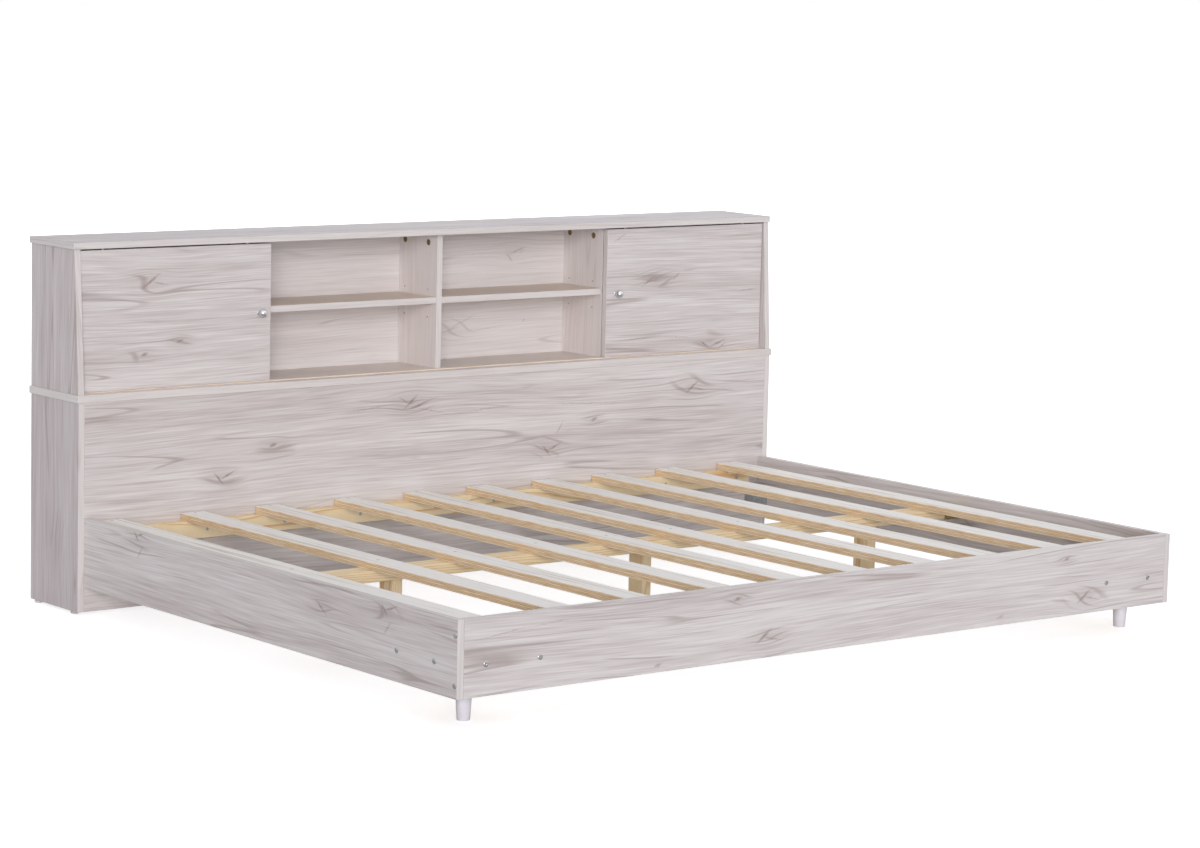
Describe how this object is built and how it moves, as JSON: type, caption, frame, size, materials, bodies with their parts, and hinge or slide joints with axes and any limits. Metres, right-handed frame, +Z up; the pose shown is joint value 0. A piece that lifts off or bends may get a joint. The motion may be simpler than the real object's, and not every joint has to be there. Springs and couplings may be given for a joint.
{
  "type": "bookcase daybed",
  "caption": "Low platform daybed with a slatted mattress frame and a back bookcase that has open shelves between sliding doors.",
  "frame": {"origin": "on the floor, at the middle of the footprint", "axes": "+X along the bookcase to the right as seen from the bed's foot, +Y from the foot of the bed to the bookcase, +Z up"},
  "size_m": [2.006, 1.6036, 0.82],
  "materials": {
    "laminate": "whitewashed oak laminate on particle board, matt with an open grain print",
    "back_board": "thin fibreboard faced with the same laminate",
    "slat_plywood": "plywood with a pale painted top and bare edges",
    "pine": "bare planed pine",
    "foot_plywood": "bare plywood",
    "foot_lacquer": "turned wood, pale satin lacquer",
    "knob_chrome": "polished chrome plating",
    "nylon": "moulded natural nylon",
    "glide_nylon": "moulded grey nylon on a steel nail",
    "track_beech": "planed beech strip, waxed",
    "dowel_beech": "fluted beech",
    "zinc_steel": "zinc plated, yellow passivated",
    "nickel_steel": "nickel plated"
  },
  "bodies": {
    "bed": {"back_ledger_left": "pine", "back_ledger_right": "pine", "beam_leg_centre": "pine", "beam_leg_left": "pine", "beam_leg_right": "pine", "beam_shoes": "zinc_steel", "cam_bolts": "zinc_steel", "cam_locks": "zinc_steel", "case_screws": "zinc_steel", "centre_beam": "pine", "deck_panel": "laminate", "divider_centre": "laminate", "divider_left": "laminate", "divider_right": "laminate", "door_track": "track_beech", "dowels": "dowel_beech", "foot_left": "foot_lacquer", "foot_plate_left": "foot_plywood", "foot_plate_right": "foot_plywood", "foot_right": "foot_lacquer", "foot_studs": "zinc_steel", "frame_screws": "zinc_steel", "front_cleat_left": "pine", "front_cleat_right": "pine", "front_ledger": "pine", "front_rail": "laminate", "glides": "glide_nylon", "lower_front_panel": "laminate", "lower_side_left": "laminate", "lower_side_right": "laminate", "rail_bolts": "nickel_steel", "rail_brackets": "zinc_steel", "shelf_left": "laminate", "shelf_pins": "nickel_steel", "shelf_right": "laminate", "side_cleat_left": "pine", "side_cleat_right": "pine", "side_rail_left": "laminate", "side_rail_right": "laminate", "slat_01": "slat_plywood", "slat_02": "slat_plywood", "slat_03": "slat_plywood", "slat_04": "slat_plywood", "slat_05": "slat_plywood", "slat_06": "slat_plywood", "slat_07": "slat_plywood", "slat_08": "slat_plywood", "slat_09": "slat_plywood", "slat_10": "slat_plywood", "slat_screws": "zinc_steel", "top_panel": "laminate", "upper_back_panel": "back_board", "upper_side_left": "laminate", "upper_side_right": "laminate"},
    "door_left": {"door_left": "laminate", "door_runners_left": "nylon", "knob_left": "knob_chrome"},
    "door_right": {"door_right": "laminate", "door_runners_right": "nylon", "knob_right": "knob_chrome"}
  },
  "joints": [
    {"name": "door_left_slide", "type": "slide", "parent": "bed", "child": "door_left", "axis": [1, 0, 0], "range_m": [0, 0.48]},
    {"name": "door_right_slide", "type": "slide", "parent": "bed", "child": "door_right", "axis": [-1, 0, 0], "range_m": [0, 0.48]}
  ]
}
